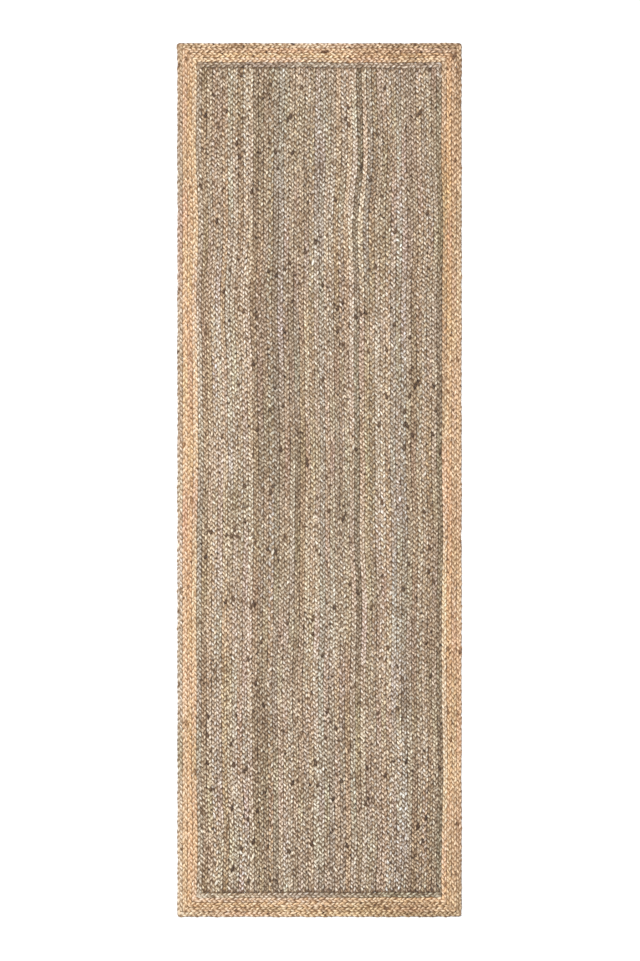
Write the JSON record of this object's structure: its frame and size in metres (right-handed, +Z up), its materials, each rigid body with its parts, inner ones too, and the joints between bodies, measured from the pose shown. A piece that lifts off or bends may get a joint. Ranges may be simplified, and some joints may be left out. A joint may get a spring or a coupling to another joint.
{
  "type": "runner rug",
  "caption": "Long flat rectangular braided jute rug: straight lengthwise plaited rows in taupe, a thin grey lap round them and a golden jute border.",
  "frame": {"origin": "centre of the underside", "axes": "+Y along the rug's length, +X across its width, +Z up out of the face"},
  "size_m": [0.775, 2.386, 0.01],
  "materials": {
    "natural_jute": "matte plaited jute, golden tan",
    "grey_jute": "matte plaited jute, dyed greenish grey",
    "taupe_jute": "matte plaited jute, mixed taupe, tan and grey",
    "sewing_thread": "matte twisted thread, undyed"
  },
  "bodies": {
    "root": {"border_lap_1": "natural_jute", "border_lap_2": "natural_jute", "border_lap_3": "natural_jute", "border_lap_4": "natural_jute", "grey_ring": "grey_jute", "field_row_01": "taupe_jute", "field_row_02": "taupe_jute", "field_row_03": "taupe_jute", "field_row_04": "taupe_jute", "field_row_05": "taupe_jute", "field_row_06": "taupe_jute", "field_row_07": "taupe_jute", "field_row_08": "taupe_jute", "field_row_09": "taupe_jute", "field_row_10": "taupe_jute", "field_row_11": "taupe_jute", "field_row_12": "taupe_jute", "field_row_13": "taupe_jute", "field_row_14": "taupe_jute", "field_row_15": "taupe_jute", "field_row_16": "taupe_jute", "field_row_17": "taupe_jute", "field_row_18": "taupe_jute", "field_row_19": "taupe_jute", "field_row_20": "taupe_jute", "field_row_21": "taupe_jute", "field_row_22": "taupe_jute", "field_row_23": "taupe_jute", "field_row_24": "taupe_jute", "field_row_25": "taupe_jute", "field_row_26": "taupe_jute", "field_row_27": "taupe_jute", "field_row_28": "taupe_jute", "field_row_29": "taupe_jute", "field_row_30": "taupe_jute", "field_row_31": "taupe_jute", "field_row_32": "taupe_jute", "field_row_33": "taupe_jute", "field_row_34": "taupe_jute", "field_row_35": "taupe_jute", "field_row_36": "taupe_jute", "field_row_37": "taupe_jute", "field_row_38": "taupe_jute", "field_row_39": "taupe_jute", "field_row_40": "taupe_jute", "field_row_41": "taupe_jute", "field_row_42": "taupe_jute", "field_row_43": "taupe_jute", "field_row_44": "taupe_jute", "field_row_45": "taupe_jute", "field_row_46": "taupe_jute", "border_thread_1": "sewing_thread", "border_thread_2": "sewing_thread", "border_thread_3": "sewing_thread", "ring_outer_thread": "sewing_thread", "ring_inner_thread": "sewing_thread", "field_thread": "sewing_thread"}
  },
  "joints": []
}
